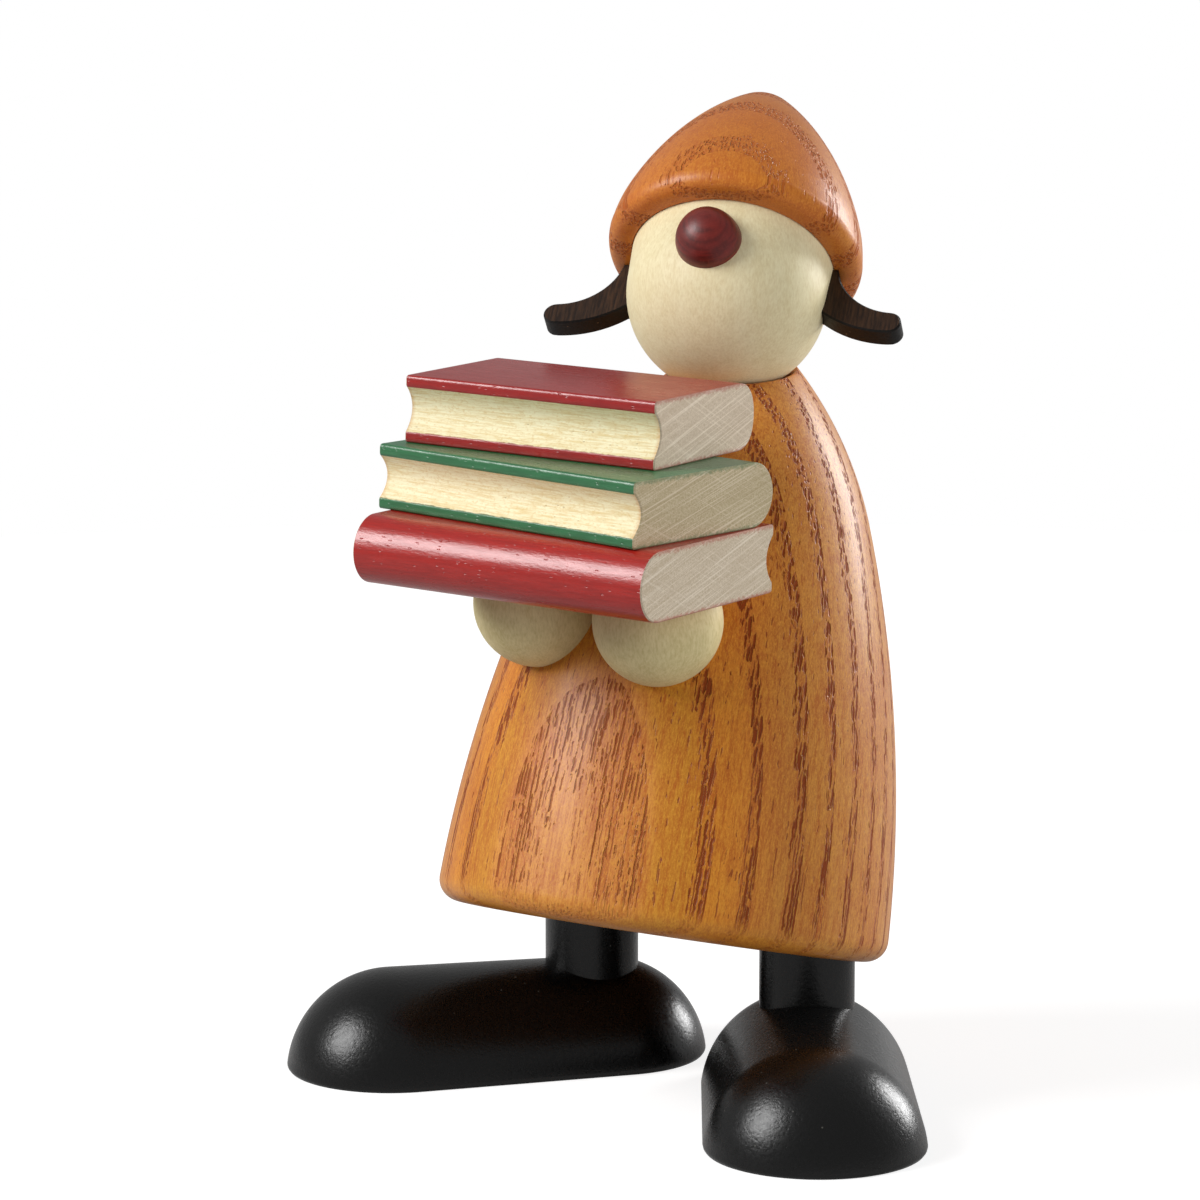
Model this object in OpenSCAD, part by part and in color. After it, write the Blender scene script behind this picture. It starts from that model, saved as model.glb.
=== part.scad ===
// Wooden figurine that brings good wishes: a child in a long turned coat and a pointed cap,
// standing in big black shoes and carrying a pile of three books on its hands.
// Millimetres, +Z up. The figure faces -Y, its left side is +X, and the origin is on the
// floor under the middle of the whole figure.

/* [Coat] */
// Radius of the coat just above its hem
coat_hem_r = 25.2; // [20:0.1:30]
// Rounding of the hem's edge
coat_hem_round = 2.45; // [0.5:0.05:4]
// Radius of the long curve of the coat's flank
coat_flank_curve = 153.7; // [90:0.1:250]
// Slope of the flank at the hem, in degrees from the coat's axis
coat_flank_a0 = 2.25; // [0:0.05:10]
// Slope of the flank where the shoulder begins, in degrees from the coat's axis
coat_flank_a1 = 19.5; // [10:0.1:40]
// Radius of the curve of the coat's shoulder
coat_shoulder_curve = 43.4; // [20:0.1:80]
// Slope where the round top begins, in degrees from the coat's axis
coat_shoulder_a = 50; // [35:0.5:70]
// How far the coat leans back, in degrees
coat_lean = 14.5; // [0:0.5:25]
// Height of the middle of the hem over the floor
coat_hem_z = 17.6; // [10:0.05:30]
// Distance of the middle of the hem behind the origin
coat_hem_y = 1.15; // [-5:0.05:10]

/* [Legs] */
// Radius of each leg dowel
leg_r = 5.3; // [3:0.05:8]
// Distance of each leg from the middle plane
leg_spread = 14.76; // [10:0.01:20]
// Distance of the legs behind the origin
leg_y = 8.4; // [0:0.1:15]
// Height of each leg's lower end, inside its shoe
leg_low_z = 5; // [2:0.1:8]
// Height of each leg's upper end, inside the coat
leg_top_z = 28; // [20:0.1:40]

/* [Shoes] */
// Radius of the round-ended bar at the toe; a shoe is the upper part of such a bar
shoe_toe_r = 12.1; // [8:0.05:15]
// Radius of the bar at the heel
shoe_heel_r = 11.75; // [8:0.05:15]
// Depth of the bar's axis below the floor
shoe_sink = 0.85; // [0:0.05:4]
// How far the left shoe points outwards, in degrees
left_splay = 36; // [0:0.5:60]
// How far the right shoe points outwards, in degrees
right_splay = 37.5; // [0:0.5:60]
// Distance from the leg's axis back to the middle of the heel's round
shoe_heel_run = 1.45; // [0:0.01:6]
// Distance from the leg's axis forward to the middle of the toe's round
shoe_toe_run = 23.45; // [15:0.01:35]

/* [Hands] */
// Radius of each hand's ball
hand_r = 7.04; // [4:0.01:10]
// Distance of each hand from the pile's middle
hand_spread = 8; // [7.2:0.05:15]
// Distance of the hands behind the pile's reference point
hand_back = 16.3; // [8:0.1:22]
// Distance of the middle of each hand below the pile's underside
hand_below = 3.67; // [0:0.01:6]

/* [Pile of books] */
// Sideways place of the pile's reference point
pile_x = 0.87; // [-5:0.01:5]
// Place of the pile's reference point behind the origin, negative is in front
pile_y = -28.14; // [-40:0.01:-10]
// Height of the underside of the pile
pile_z = 59.14; // [50:0.01:70]
// How far the pile hangs down on the figure's left, in degrees
pile_roll = 1.63; // [-5:0.01:5]
// Thickness of the painted board edge along each fore-edge
board_t = 1.15; // [0.5:0.05:2]
// Depth of the hollow in each fore-edge
fore_hollow = 1.25; // [0.3:0.05:2]
// Depth of the round of each spine, from the bottom book to the top one
spine_round = [3.65, 3.4, 3.2]; // [1:0.05:4]
// Squareness of each spine's round: 1 is an ellipse, less is squarer
spine_power = [1, 1, 0.88]; // [0.6:0.01:1]

/* [Bottom book] */
// Length, depth and thickness of the bottom book
book1_size = [36.29, 26.01, 7.42]; // [6:0.01:45]
// Place of its middle in the pile
book1_at = [1.29, 8.09]; // [-4:0.01:16]
// Turn of the bottom book, in degrees
book1_turn = 2.96; // [-15:0.01:15]

/* [Middle book] */
// Length, depth and thickness of the middle book
book2_size = [35.34, 23.24, 7.02]; // [6:0.01:45]
// Place of its middle in the pile
book2_at = [0.5, 11.05]; // [-4:0.01:16]
// Turn of the middle book, in degrees
book2_turn = -3.8; // [-15:0.01:15]

/* [Top book] */
// Length, depth and thickness of the top book
book3_size = [31.01, 20.91, 7.27]; // [6:0.01:45]
// Place of its middle in the pile
book3_at = [-1.86, 14.86]; // [-4:0.01:16]
// Turn of the top book, in degrees
book3_turn = 4.86; // [-15:0.01:15]

/* [Head] */
// Radius of the ball of the face
face_r = 11.2; // [8:0.05:15]
// Radius of the head where the cap's rim goes round it
crown_r = 11.38; // [8:0.05:15]
// Distance of the head's middle behind the origin
head_y = 13.69; // [5:0.01:20]
// Height of the head's middle
head_z = 87.69; // [75:0.01:100]
// Turn of the head to the figure's left, in degrees
head_turn = 22; // [-45:0.5:45]
// How far the head looks up, in degrees
head_up = 45; // [0:0.5:60]
// Gap between the face's ball and its hollow seat in the coat
seat_gap = 0.3; // [0.2:0.05:1]

/* [Neck] */
// Radius of the neck dowel
neck_r = 3; // [2:0.05:5]
// Clearance all round the dowel in the head, so that the head can turn
neck_clear = 0.05; // [0.01:0.01:0.1]
// Height of the dowel's lower end, inside the coat
neck_low_z = 64; // [55:0.1:72]
// Height of the dowel's upper end, inside the head
neck_top_z = 88.6; // [80:0.1:95]
// Height of the end of the hole in the head
neck_hole_z = 89; // [80:0.1:95]

/* [Nose] */
// Radius of the nose's ball
nose_r = 3.68; // [2:0.01:5]
// Distance of the nose's middle from the head's middle
nose_out = 10.7; // [9:0.01:13]
// How far the nose sits below the straight-ahead line, in degrees
nose_drop = 6; // [0:0.5:20]
// How far the nose sits to the figure's right of the straight-ahead line, in degrees
nose_aside = 1.2; // [-5:0.1:5]
// Radius of the nose's peg
nose_peg_r = 1.6; // [1:0.05:2.5]
// Distance of the peg's inner end from the head's middle
nose_peg_in = 5.5; // [4:0.1:9]

/* [Cap] */
// Distance of the cap's rim from the head's middle, along the head's axis
cap_rim = 3.85; // [1:0.05:8]
// Largest radius of the cap
cap_r = 14.3; // [12:0.01:18]
// Rounding of the rim's outer edge
cap_rim_round = 1; // [0.3:0.05:2]
// Radius of the lower curve of the cap's side
cap_low_curve = 16.62; // [8:0.01:30]
// Slope at the end of the lower curve, in degrees from the head's axis
cap_low_a = 17.6; // [5:0.1:30]
// Radius of the upper curve of the cap's side
cap_high_curve = 42.16; // [20:0.01:80]
// Slope where the tip's round begins, in degrees from the head's axis
cap_high_a = 44.2; // [30:0.1:60]

/* [Pigtails] */
// How far both pigtails sit to the figure's left of the head's middle, negative is right
tail_aside = -0.22; // [-1:0.01:1]
// Thickness of each pigtail
tail_t = 2.5; // [1:0.05:4]
// Distance of each pigtail's inner end from the middle, inside the head
tail_in = 8.5; // [6:0.1:10.5]
// Height of the lower corner of that inner end, along the head's axis
tail_in_low = -1.7; // [-5:0.1:0]
// Radius of the round of each pigtail's tip
tail_tip_r = 1.38; // [0.5:0.01:3]
// Sideways distance and height of the middle of the tip's round
tail_tip_at = [18.85, -3.4]; // [-6:0.01:24]
// Radius of the curve of each pigtail's lower edge
tail_low_r = 12.35; // [8:0.05:30]
// Radius of the curve of each pigtail's upper edge
tail_high_r = 7.2; // [4:0.05:15]

/* [Hidden] */
$fn = 96;
// Heights of the undersides of the middle and top books over the pile's underside
book2_z = book1_size[2];
book3_z = book1_size[2] + book2_size[2];
// Length of the head's slightly flared part between the face's ball and the crown's dome
flare_len = cap_rim + 0.15;
// Size of the blocks that cut solids along a plane
block = 80;
book_red = [0.62, 0.15, 0.14];
book_green = [0.20, 0.42, 0.27];
amber = [0.80, 0.45, 0.15];
pale_wood = [0.90, 0.84, 0.66];
black_paint = [0.05, 0.05, 0.05];

// Points after p = [radius, height] along an arc whose slope goes from a0 to a1
function arc_pts(p, a0, a1, rho, n) = [
    for (i = [1 : n])
        let (a = a0 + (a1 - a0) * i / n)
        [max(0, p[0] - rho * (cos(a0) - cos(a))), p[1] + rho * (sin(a) - sin(a0))]
];

// Last point of a list
function last(list) = list[len(list) - 1];

// Points on a circle round c, from the angle a0 to the angle a1
function ring_pts(c, r, a0, a1, n) = [
    for (i = [0 : n])
        let (a = a0 + (a1 - a0) * i / n)
        c + r * [cos(a), sin(a)]
];

// Keeps the sign of x while its size is raised to a power
function signed_pow(x, k) = sign(x) * pow(abs(x), k);

// The coat's half outline as [radius, distance from the hem]
coat_hem_pts = arc_pts([coat_hem_r - coat_hem_round, 0], -90, coat_flank_a0, coat_hem_round, 6);
coat_flank_pts = arc_pts(last(coat_hem_pts), coat_flank_a0, coat_flank_a1, coat_flank_curve, 20);
coat_shoulder_pts = arc_pts(last(coat_flank_pts), coat_flank_a1, coat_shoulder_a,
    coat_shoulder_curve, 14);
coat_top_curve = last(coat_shoulder_pts)[0] / cos(coat_shoulder_a);
coat_top_pts = arc_pts(last(coat_shoulder_pts), coat_shoulder_a, 90, coat_top_curve, 6);
coat_outline = concat([[0, 0], [coat_hem_r - coat_hem_round, 0]],
    coat_hem_pts, coat_flank_pts, coat_shoulder_pts, coat_top_pts);

// The bar's half outline as [radius, distance from the end of the heel]
shoe_flare = asin((shoe_toe_r - shoe_heel_r) / (shoe_heel_run + shoe_toe_run));
shoe_toe_mid = shoe_heel_r + shoe_heel_run + shoe_toe_run;
shoe_toe_pt = [shoe_toe_r * cos(shoe_flare), shoe_toe_mid - shoe_toe_r * sin(shoe_flare)];
shoe_outline = concat([[0, 0]],
    arc_pts([0, 0], -90, -shoe_flare, shoe_heel_r, 14),
    [shoe_toe_pt],
    arc_pts(shoe_toe_pt, -shoe_flare, 90, shoe_toe_r, 14));

// The cap's half outline as [radius, distance from the head's middle]
cap_rim_pts = arc_pts([cap_r - cap_rim_round, cap_rim], -90, 0, cap_rim_round, 6);
cap_low_pts = arc_pts(last(cap_rim_pts), 0, cap_low_a, cap_low_curve, 8);
cap_high_pts = arc_pts(last(cap_low_pts), cap_low_a, cap_high_a, cap_high_curve, 14);
cap_tip_curve = last(cap_high_pts)[0] / cos(cap_high_a);
cap_tip_pts = arc_pts(last(cap_high_pts), cap_high_a, 90, cap_tip_curve, 8);
cap_outline = concat([[0, cap_rim], [cap_r - cap_rim_round, cap_rim]],
    cap_rim_pts, cap_low_pts, cap_high_pts, cap_tip_pts);

// A pigtail's flat outline as [sideways distance, height along the head's axis]: the lower
// edge, the round of the tip, and the hollow upper edge up to the cap's rim
tail_low_c = tail_tip_at + [-0.15, tail_low_r - tail_tip_r];
tail_high_c = tail_tip_at + [0.45, tail_high_r + tail_tip_r];
tail_rim_a = 180 + asin((tail_high_c[1] - cap_rim) / tail_high_r);
tail_outline = concat([[tail_in, tail_in_low]],
    ring_pts(tail_low_c, tail_low_r, 232, 270, 8),
    ring_pts(tail_tip_at, tail_tip_r, 285, 440, 8),
    ring_pts(tail_high_c, tail_high_r, 266, tail_rim_a, 10),
    [[tail_in, cap_rim]]);

// Moves a piece from the head's own axis to its turned and tilted place
module in_head() {
    translate([0, head_y, head_z])
        rotate([0, 0, head_turn])
            rotate([-head_up, 0, 0])
                children();
}

// Moves a piece from the pile's own level to its place on the hands
module in_pile() {
    translate([pile_x, pile_y, pile_z])
        rotate([0, pile_roll, 0])
            children();
}

// One book as a solid moulding with a round spine and a hollow fore-edge
module book_block(size, spine_depth, power, spine_ahead) {
    half_t = size[2] / 2;
    page_t = half_t - board_t;
    spine_pts = [
        for (i = [0 : 20])
            let (a = -90 + 180 * i / 20)
            [size[1] - spine_depth * (1 - pow(cos(a), power)),
                half_t * signed_pow(sin(a), power)]
    ];
    page_pts = [
        for (i = [0 : 12])
            let (u = 1 - 2 * i / 12)
            [fore_hollow * (1 - u * u), u * page_t]
    ];
    outline = concat([[0, -half_t]], spine_pts, [[0, half_t]], page_pts);
    rotate([0, 0, spine_ahead ? 180 : 0])
        translate([0, -size[1] / 2, half_t])
            rotate([90, 0, 90])
                linear_extrude(height = size[0], center = true)
                    polygon(outline);
}

// One hand: a ball with its top cut flat where the pile lies on it
module hand_ball(side) {
    in_pile()
        difference() {
            translate([side * hand_spread, hand_back, -hand_below])
                sphere(r = hand_r);
            translate([-block / 2, -block / 2, 0])
                cube(block);
        }
}

// One shoe: the upper part of a round-ended bar, with the hole for its leg
module shoe_block(side) {
    difference() {
        translate([side * leg_spread, leg_y, 0])
            rotate([0, 0, side > 0 ? left_splay : -right_splay])
                intersection() {
                    translate([0, shoe_heel_run + shoe_heel_r, -shoe_sink])
                        rotate([90, 0, 0])
                            rotate_extrude()
                                polygon(shoe_outline);
                    translate([-block / 2, -block / 2, 0])
                        cube(block);
                }
        translate([side * leg_spread, leg_y, leg_low_z])
            cylinder(h = leg_top_z, r = leg_r);
    }
}

// One leg: a plain dowel from inside the shoe to inside the coat
module leg_bar(side) {
    translate([side * leg_spread, leg_y, leg_low_z])
        cylinder(h = leg_top_z - leg_low_z, r = leg_r);
}

// The part of the head that the cap goes over: a short flare and a dome
module crown() {
    union() {
        cylinder(h = flare_len, r1 = face_r, r2 = crown_r);
        intersection() {
            translate([0, 0, flare_len])
                sphere(r = crown_r);
            translate([-block / 2, -block / 2, flare_len])
                cube(block);
        }
    }
}

// The nose's ball and peg, on the head's own axis
module nose_plug() {
    rotate([nose_drop, 0, -nose_aside])
        rotate([90, 0, 0])
            union() {
                translate([0, 0, nose_out])
                    sphere(r = nose_r);
                translate([0, 0, nose_peg_in])
                    cylinder(h = nose_out - nose_peg_in, r = nose_peg_r);
            }
}

// One pigtail: a flat sawn plate whose inner end is let into the head
module tail_plate(side) {
    translate([tail_aside, tail_t, 0])
        mirror([side < 0 ? 1 : 0, 0, 0])
            rotate([90, 0, 0])
                linear_extrude(height = tail_t)
                    polygon(tail_outline);
}

// Turned coat with its seat for the head and its holes for neck, legs, hands and book
module coat() {
    color(amber)
        difference() {
            translate([0, coat_hem_y, coat_hem_z])
                rotate([-coat_lean, 0, 0])
                    rotate_extrude()
                        polygon(coat_outline);
            translate([0, head_y, head_z])
                sphere(r = face_r + seat_gap);
            translate([0, head_y, neck_low_z])
                cylinder(h = neck_top_z - neck_low_z, r = neck_r);
            for (side = [-1, 1]) {
                translate([side * leg_spread, leg_y, 0])
                    cylinder(h = leg_top_z, r = leg_r);
                hand_ball(side);
            }
            in_pile()
                translate([book1_at[0], book1_at[1], 0])
                    rotate([0, 0, book1_turn])
                        translate([-book1_size[0] / 2, -book1_size[1] / 2, 0])
                            cube(book1_size);
        }
}

// Dowel that is fixed in the coat and lets the head turn
module neck_dowel() {
    color(pale_wood)
        translate([0, head_y, neck_low_z])
            cylinder(h = neck_top_z - neck_low_z, r = neck_r);
}

// Head: the ball of the face with the crown that fills the cap
module head() {
    color(pale_wood)
        in_head()
            difference() {
                union() {
                    intersection() {
                        sphere(r = face_r);
                        translate([-block / 2, -block / 2, -block])
                            cube(block);
                    }
                    crown();
                }
                rotate([head_up, 0, 0])
                    translate([0, 0, -block / 2])
                        cylinder(h = block / 2 + neck_hole_z - head_z, r = neck_r + neck_clear);
                nose_plug();
                tail_plate(-1);
                tail_plate(1);
            }
}

// Turned cap, hollowed to fit over the crown
module cap() {
    color(amber)
        in_head()
            difference() {
                rotate_extrude()
                    polygon(cap_outline);
                crown();
            }
}

// Nose: a small ball with a peg that goes into the head
module nose() {
    color([0.36, 0.09, 0.09])
        in_head()
            nose_plug();
}

// Pigtail on the figure's left
module pigtail_left() {
    color([0.16, 0.10, 0.06])
        in_head()
            tail_plate(1);
}

// Pigtail on the figure's right
module pigtail_right() {
    color([0.16, 0.10, 0.06])
        in_head()
            tail_plate(-1);
}

// Hand on the figure's left
module hand_left() {
    color(pale_wood)
        hand_ball(1);
}

// Hand on the figure's right
module hand_right() {
    color(pale_wood)
        hand_ball(-1);
}

// Bottom book, red, with its spine to the front
module book_bottom() {
    color(book_red)
        in_pile()
            translate([book1_at[0], book1_at[1], 0])
                rotate([0, 0, book1_turn])
                    book_block(book1_size, spine_round[0], spine_power[0], true);
}

// Middle book, green, with its fore-edge to the front
module book_middle() {
    color(book_green)
        in_pile()
            translate([book2_at[0], book2_at[1], book2_z])
                rotate([0, 0, book2_turn])
                    book_block(book2_size, spine_round[1], spine_power[1], false);
}

// Top book, red, with its fore-edge to the front
module book_top() {
    color(book_red)
        in_pile()
            translate([book3_at[0], book3_at[1], book3_z])
                rotate([0, 0, book3_turn])
                    book_block(book3_size, spine_round[2], spine_power[2], false);
}

// Leg on the figure's left
module leg_left() {
    color(black_paint)
        leg_bar(1);
}

// Leg on the figure's right
module leg_right() {
    color(black_paint)
        leg_bar(-1);
}

// Shoe on the figure's left
module shoe_left() {
    color(black_paint)
        shoe_block(1);
}

// Shoe on the figure's right
module shoe_right() {
    color(black_paint)
        shoe_block(-1);
}

coat();
neck_dowel();
head();
cap();
nose();
pigtail_left();
pigtail_right();
hand_left();
hand_right();
book_bottom();
book_middle();
book_top();
leg_left();
leg_right();
shoe_left();
shoe_right();
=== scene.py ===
"""Looks of a wooden figurine that carries books: turned ash coat and cap, pale head and hands,
painted books, dark pigtails, black legs and shoes.

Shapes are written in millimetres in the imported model's frame: the figure faces -Y, its left is +X.
"""
import math

import bmesh
import bpy
import numpy as np
from mathutils import Matrix, Vector


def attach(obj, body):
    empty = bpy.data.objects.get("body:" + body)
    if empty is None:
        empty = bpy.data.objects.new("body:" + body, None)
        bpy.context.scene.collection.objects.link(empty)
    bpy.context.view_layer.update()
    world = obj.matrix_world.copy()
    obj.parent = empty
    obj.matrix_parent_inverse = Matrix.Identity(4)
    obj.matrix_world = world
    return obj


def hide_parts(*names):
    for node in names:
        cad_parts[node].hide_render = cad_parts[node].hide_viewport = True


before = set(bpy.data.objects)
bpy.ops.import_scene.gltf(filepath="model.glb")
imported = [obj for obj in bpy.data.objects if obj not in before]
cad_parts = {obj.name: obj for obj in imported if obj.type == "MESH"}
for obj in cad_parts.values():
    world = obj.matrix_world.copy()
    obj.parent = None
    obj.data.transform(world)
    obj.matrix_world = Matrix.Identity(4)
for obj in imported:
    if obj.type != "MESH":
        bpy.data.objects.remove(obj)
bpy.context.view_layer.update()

MM = 0.001
SIDES = {"left": 1, "right": -1}

# Sizes that repeat the part's source, in millimetres and degrees.
# An arc of a turned outline is the slope at its start, the slope at its end and its radius.
COAT_AT, COAT_LEAN = (0.0, 1.15, 17.6), 14.5
COAT_HEM_R, COAT_HEM_ROUND = 25.2, 2.45
COAT_FLANK = (2.25, 19.5, 153.7)
COAT_SHOULDER = (19.5, 50.0, 43.4)
LEG_R, LEG_X, LEG_Y, LEG_LOW, LEG_TOP = 5.3, 14.76, 8.4, 5.0, 28.0
SHOE_TOE_R, SHOE_HEEL_R, SHOE_SINK = 12.1, 11.75, 0.85
SHOE_HEEL_RUN, SHOE_TOE_RUN = 1.45, 23.45
SHOE_SPLAY = {"left": 36.0, "right": -37.5}
PILE_AT, PILE_TILT = (0.87, -28.14, 59.14), 1.63
HAND_R, HAND_X, HAND_BACK, HAND_BELOW = 7.04, 8.0, 16.3, 3.67
BOARD_T, FORE_HOLLOW = 1.15, 1.25
HEAD_AT, HEAD_FACING, HEAD_TIP = Vector((0.0, 13.69, 87.69)), 22.0, -45.0
FACE_R, CROWN_R, SEAT_R = 11.2, 11.38, 11.5
NECK_R, NECK_LOW = 3.0, 64.0
NECK_HOLE_R, NECK_HOLE_TOP = 3.05, 89.0
NOSE_R, NOSE_OUT, NOSE_DROP, NOSE_ASIDE = 3.68, 10.7, 6.0, 1.2
NOSE_PEG_R, NOSE_PEG_IN = 1.6, 5.5
CAP_RIM, CAP_R, CAP_RIM_ROUND = 3.85, 14.3, 1.0
CAP_LOW = (0.0, 17.6, 16.62)
CAP_HIGH = (17.6, 44.2, 42.16)
CROWN_UP = CAP_RIM + 0.15
TAIL_T, TAIL_IN, TAIL_IN_LOW, TAIL_ASIDE = 2.5, 8.5, -1.7, -0.22
TAIL_TIP, TAIL_TIP_R, TAIL_TIP_ARC = (18.85, -3.4), 1.38, (285.0, 440.0)
TAIL_LOW_R, TAIL_LOW_SHIFT, TAIL_LOW_ARC = 12.35, -0.15, (232.0, 270.0)
TAIL_HIGH_R, TAIL_HIGH_SHIFT, TAIL_HIGH_START = 7.2, 0.45, 266.0

# Softened edges and small departures that only the looks have
CAP_SOFT, CAP_LIP_SOFT, CAP_CLEAR = 2.1, 0.3, 0.02
BOARD_SOFT, PAGE_SOFT, BOOK_BEVEL, TAIL_BEVEL = 0.42, 0.17, 0.14, 0.18
HAND_SOFT, LEG_SOFT, SEAT_SOFT = 0.25, 0.3, 0.28
SHOE_SOFT, SHOE_SOFT_UP, SHOE_SOFT_MIDDLE = 0.32, 0.6, 0.25
NOSE_FLAT, NOSE_FLAT_SIDE = 0.22, Vector((0.62, 0.74, 0.25)).normalized()


def turn(axis, degrees):
    return Matrix.Rotation(math.radians(degrees), 4, axis)


HEAD = Matrix.Translation(HEAD_AT) @ turn("Z", HEAD_FACING) @ turn("X", HEAD_TIP)
COAT = Matrix.Translation(COAT_AT) @ turn("X", -COAT_LEAN)
PILE = Matrix.Translation(PILE_AT) @ turn("Y", PILE_TILT)
SWAP_XY = Matrix(((0, 1, 0, 0), (1, 0, 0, 0), (0, 0, 1, 0), (0, 0, 0, 1)))


# Shapes

def arc(start, a0, a1, rho, n):
    """Points after start = (radius, height) along an arc whose slope goes from a0 to a1 degrees."""
    a = np.radians(np.linspace(a0, a1, n + 1)[1:])
    first = math.radians(a0)
    r = start[0] - rho * (math.cos(first) - np.cos(a))
    z = start[1] + rho * (np.sin(a) - math.sin(first))
    return [(max(0.0, float(p)), float(q)) for p, q in zip(r, z)]


def circle_pts(centre, r, a0, a1, n):
    """Points round a centre from a0 to a1 degrees, in n steps."""
    a = np.radians(np.linspace(a0, a1, n + 1))
    return [(centre[0] + r * math.cos(t), centre[1] + r * math.sin(t)) for t in a]


def bend(a, corner, b, t):
    """A point at t, from 0 to 1, on the curve that goes from a towards a corner and on to b."""
    return (1 - t) ** 2 * a + 2 * t * (1 - t) * corner + t * t * b


def soft_corner(before, corner, after, r, n=4):
    """Points that round the corner of an outline, r along each edge."""
    p, c, q = (np.array(v, float) for v in (before, corner, after))
    a = c + (p - c) / np.linalg.norm(p - c) * r
    b = c + (q - c) / np.linalg.norm(q - c) * r
    return [tuple(bend(a, c, b, i / n)) for i in range(n + 1)]


def turned_outline(start, curves, tip_n):
    """A turned half outline: arcs one after the other, and a last round that closes it on the axis."""
    pts = [start]
    for a0, a1, rho, n in curves:
        pts += arc(pts[-1], a0, a1, rho, n)
    last = curves[-1][1]
    pts += arc(pts[-1], last, 90.0, pts[-1][0] / math.cos(math.radians(last)), tip_n)
    pts[-1] = (0.0, pts[-1][1])
    return pts


def loop_mesh(rows, first=None, last=None):
    """Vertices and faces of closed loops stacked on each other, with a pole at either end."""
    rows = np.asarray(rows, float)
    n_rows, n = rows.shape[:2]
    verts = [tuple(v) for v in rows.reshape(-1, 3)]
    faces = []
    for i in range(n_rows - 1):
        for j in range(n):
            k = (j + 1) % n
            faces.append((i * n + j, i * n + k, (i + 1) * n + k, (i + 1) * n + j))
    if first is not None:
        verts.append(tuple(first))
        faces += [(len(verts) - 1, (j + 1) % n, j) for j in range(n)]
    if last is not None:
        verts.append(tuple(last))
        base = (n_rows - 1) * n
        faces += [(len(verts) - 1, base + j, base + (j + 1) % n) for j in range(n)]
    return verts, faces


def lathe(outline, steps):
    """A turned solid: outline is (radius, height) from the axis back to the axis."""
    a = np.linspace(0.0, 2 * math.pi, steps, endpoint=False)
    ring = np.stack([np.cos(a), np.sin(a)], 1)
    rows = [np.column_stack([ring * r, np.full(steps, z)]) for r, z in outline[1:-1]]
    return loop_mesh(rows, (0, 0, outline[0][1]), (0, 0, outline[-1][1]))


def extrude(outline, half, bevel):
    """A plate or moulding along X from a flat (y, z) outline, with a small bevel round each end.
    Its faces are three rows, a bevel, the side and a bevel, and then the two ends."""
    p = np.array(outline, float)
    n = len(p)
    edge = np.roll(p, -1, 0) - p
    normal = np.column_stack([edge[:, 1], -edge[:, 0]])
    normal /= np.linalg.norm(normal, axis=1)[:, None]
    at_point = normal + np.roll(normal, 1, 0)
    at_point /= np.linalg.norm(at_point, axis=1)[:, None]
    area = np.sum(p[:, 0] * np.roll(p[:, 1], -1) - np.roll(p[:, 0], -1) * p[:, 1])
    inward = -at_point if area > 0 else at_point
    rows = [np.column_stack([np.full(n, x), p + inward * inset]) for x, inset in
            ((-half, bevel), (-half + bevel, 0.0), (half - bevel, 0.0), (half, bevel))]
    verts, faces = loop_mesh(rows)
    faces += [tuple(range(n))[::-1], tuple(range(3 * n, 4 * n))]
    return verts, faces


def clean_mesh(name, verts, faces, place, kinds=()):
    """A mesh in metres with its faces turned outwards. kinds gives each face's material."""
    mesh = bpy.data.meshes.new(name)
    mesh.from_pydata([place @ Vector(v) * MM for v in verts], [], faces)
    bm = bmesh.new()
    bm.from_mesh(mesh)
    for face, kind in zip(bm.faces, kinds):
        face.material_index = kind
    bmesh.ops.recalc_face_normals(bm, faces=bm.faces)
    bm.to_mesh(mesh)
    bm.free()
    return mesh


def in_scene(name, data):
    obj = bpy.data.objects.new(name, data)
    bpy.context.scene.collection.objects.link(obj)
    return obj


def piece(name, verts, faces, place, node, body, materials, kinds=(), sharp=38.0):
    """Makes one mesh piece on its CAD body, in place of its CAD node. Edges that bend by more than sharp
    degrees stay sharp."""
    mesh = clean_mesh(name, verts, faces, place, kinds)
    for material in materials:
        mesh.materials.append(material)
    mesh.shade_smooth()
    mesh.set_sharp_from_angle(angle=math.radians(sharp))
    obj = in_scene(name, mesh)
    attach(obj, body)
    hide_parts(node)
    return obj


def cut(obj, cutter):
    """Takes the cutter's solid out of a piece, for good."""
    mod = obj.modifiers.new("cut", "BOOLEAN")
    mod.operation, mod.solver, mod.object = "DIFFERENCE", "EXACT", cutter
    graph = bpy.context.evaluated_depsgraph_get()
    mesh = bpy.data.meshes.new_from_object(obj.evaluated_get(graph))
    obj.modifiers.clear()
    obj.data = mesh
    bpy.data.objects.remove(cutter)


# Materials

def srgb(r, g, b):
    """A colour given in 0-255 screen values, as the linear colour that shaders take."""
    def lin(c):
        c /= 255.0
        return c / 12.92 if c <= 0.04045 else ((c + 0.055) / 1.055) ** 2.4
    return (lin(r), lin(g), lin(b), 1.0)


def put(tree, socket, value):
    """Sets an input, or links another node's output to it."""
    if isinstance(value, bpy.types.NodeSocket):
        tree.links.new(value, socket)
    else:
        socket.default_value = value


def add_node(tree, kind, *inputs, **settings):
    """Adds a node with these settings, and with its first inputs set or linked."""
    node = tree.nodes.new(kind)
    for key, value in settings.items():
        setattr(node, key, value)
    for socket, value in zip(node.inputs, inputs):
        put(tree, socket, value)
    return node


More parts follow.
